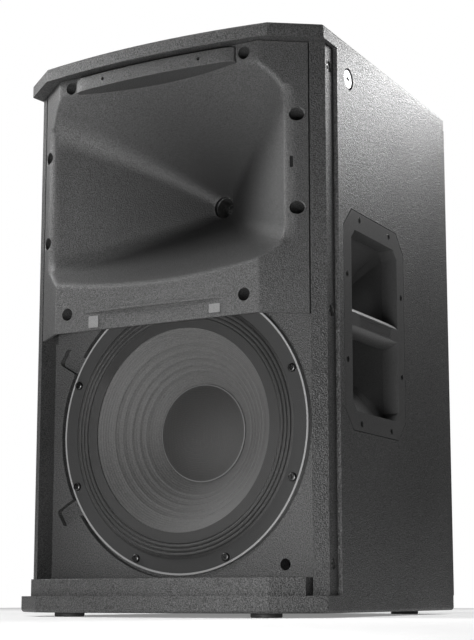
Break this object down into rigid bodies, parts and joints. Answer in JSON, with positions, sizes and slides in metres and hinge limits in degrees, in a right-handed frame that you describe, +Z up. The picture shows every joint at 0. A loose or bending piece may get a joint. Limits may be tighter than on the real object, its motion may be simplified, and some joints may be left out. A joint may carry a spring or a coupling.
{
  "type": "pa speaker cabinet",
  "caption": "Upright powered loudspeaker cabinet with a bowed top, flared horn over a round woofer, recessed side handles and a rear amplifier panel.",
  "frame": {"origin": "middle of the footprint, on the surface the feet stand on", "axes": "+Z up, the front with horn and woofer faces -Y, +X is the viewer's right"},
  "size_m": [0.3808, 0.4079, 0.608],
  "materials": {
    "textured_paint": "textured black coat on plywood",
    "bare_plywood": "unfinished birch plywood",
    "horn_moulding": "fine grained moulded plastic",
    "handle_moulding": "satin moulded plastic",
    "black_screw": "black zinc plated steel",
    "cast_frame": "black painted cast frame",
    "frame_gasket": "dense foam gasket",
    "treated_cloth": "doped cloth",
    "cone_paper": "pressed paper pulp",
    "dust_cap_paper": "coated cloth cap",
    "copper_coil": "enamelled copper wire",
    "motor_steel": "plated motor steel",
    "ferrite": "bare ferrite",
    "diaphragm": "thin formed dome",
    "phase_plug": "moulded plastic",
    "nameplate": "satin blank plate",
    "badge": "printed blank pad",
    "indicator_lens": "smoked lens",
    "plated_steel": "zinc plated steel",
    "amp_paint": "black powder coat",
    "black_aluminium": "black anodised",
    "cover_steel": "zinc coated sheet",
    "circuit_board": "solder mask green",
    "transformer": "taped winding",
    "display_glass": "clear window over a dark display",
    "socket_plastic": "black nylon",
    "latch_metal": "nickel plated",
    "knob_plastic": "soft touch knob",
    "rocker_plastic": "glossy rocker",
    "lead_jacket": "flexible jacket",
    "wadding": "polyester wadding",
    "foot_rubber": "moulded rubber",
    "pole_cup": "glass filled nylon"
  },
  "bodies": {
    "cabinet": {"amp_circuit_board": "circuit_board", "amp_cover": "cover_steel", "amp_heatsink": "black_aluminium", "amp_plate": "amp_paint", "amp_power_supply": "transformer", "amp_screws": "black_screw", "bottom_batten": "textured_paint", "bottom_panel": "textured_paint", "damping_wadding": "wadding", "display_window": "display_glass", "driver_leads": "lead_jacket", "foot_screws": "black_screw", "front_baffle": "textured_paint", "handle_nameplates": "nameplate", "handle_screws": "black_screw", "hf_bolts": "plated_steel", "hf_driver_plate": "motor_steel", "hf_magnet": "ferrite", "hf_phase_plug": "phase_plug", "hf_rear_cover": "cast_frame", "horn": "horn_moulding", "horn_badges": "badge", "horn_screws": "black_screw", "indicator_window": "indicator_lens", "inner_brace": "bare_plywood", "input_sockets": "socket_plastic", "left_handle": "handle_moulding", "left_side_panel": "textured_paint", "link_socket": "socket_plastic", "pole_socket": "pole_cup", "pole_socket_screws": "black_screw", "power_inlet": "socket_plastic", "power_switch_frame": "socket_plastic", "rear_panel": "textured_paint", "rigging_plugs": "black_screw", "right_handle": "handle_moulding", "right_side_panel": "textured_paint", "rubber_feet": "foot_rubber", "threaded_inserts": "plated_steel", "top_panel": "textured_paint", "woofer_back_plate": "motor_steel", "woofer_basket": "cast_frame", "woofer_gasket": "frame_gasket", "woofer_magnet": "ferrite", "woofer_screws": "black_screw", "woofer_spider": "treated_cloth", "woofer_surround": "treated_cloth", "woofer_terminals": "socket_plastic", "woofer_top_plate": "motor_steel"},
    "woofer_mover": {"woofer_cone": "cone_paper", "woofer_dust_cap": "dust_cap_paper", "woofer_voice_coil": "copper_coil"},
    "hf_mover": {"hf_diaphragm": "diaphragm"},
    "level_1": {"level_knob_1": "knob_plastic"},
    "level_2": {"level_knob_2": "knob_plastic"},
    "menu_push": {"menu_shaft": "plated_steel"},
    "menu_turn": {"menu_knob": "knob_plastic"},
    "rocker": {"power_rocker": "rocker_plastic"},
    "latch_1": {"input_latch_1": "latch_metal"},
    "latch_2": {"input_latch_2": "latch_metal"}
  },
  "joints": [
    {"name": "woofer_excursion", "type": "slide", "parent": "cabinet", "child": "woofer_mover", "axis": [0, -1, 0], "range_m": [-0.006, 0.006], "stiffness_N_per_m": 3000, "deforming": ["woofer_surround", "woofer_spider"]},
    {"name": "hf_excursion", "type": "slide", "parent": "cabinet", "child": "hf_mover", "axis": [0, -1, 0], "range_m": [-0.0004, 0.0004], "stiffness_N_per_m": 5000},
    {"name": "level_1_turn", "type": "hinge", "parent": "cabinet", "child": "level_1", "pos_m": [-0.062, 0.195, 0.395], "axis": [0, -1, 0], "range_deg": [-150, 150]},
    {"name": "level_2_turn", "type": "hinge", "parent": "cabinet", "child": "level_2", "pos_m": [0, 0.195, 0.395], "axis": [0, -1, 0], "range_deg": [-150, 150]},
    {"name": "menu_press", "type": "slide", "parent": "cabinet", "child": "menu_push", "axis": [0, -1, 0], "range_m": [0, 0.0005], "stiffness_N_per_m": 4000},
    {"name": "menu_turn", "type": "hinge", "parent": "menu_push", "child": "menu_turn", "pos_m": [0.062, 0.195, 0.43], "axis": [0, -1, 0], "continuous": true},
    {"name": "power_tilt", "type": "hinge", "parent": "cabinet", "child": "rocker", "pos_m": [0.03, 0.194, 0.164], "axis": [1, 0, 0], "range_deg": [-8, 8]},
    {"name": "latch_1_press", "type": "slide", "parent": "cabinet", "child": "latch_1", "axis": [0, -1, 0], "range_m": [0, 0.0015], "stiffness_N_per_m": 800},
    {"name": "latch_2_press", "type": "slide", "parent": "cabinet", "child": "latch_2", "axis": [0, -1, 0], "range_m": [0, 0.0015], "stiffness_N_per_m": 800}
  ]
}
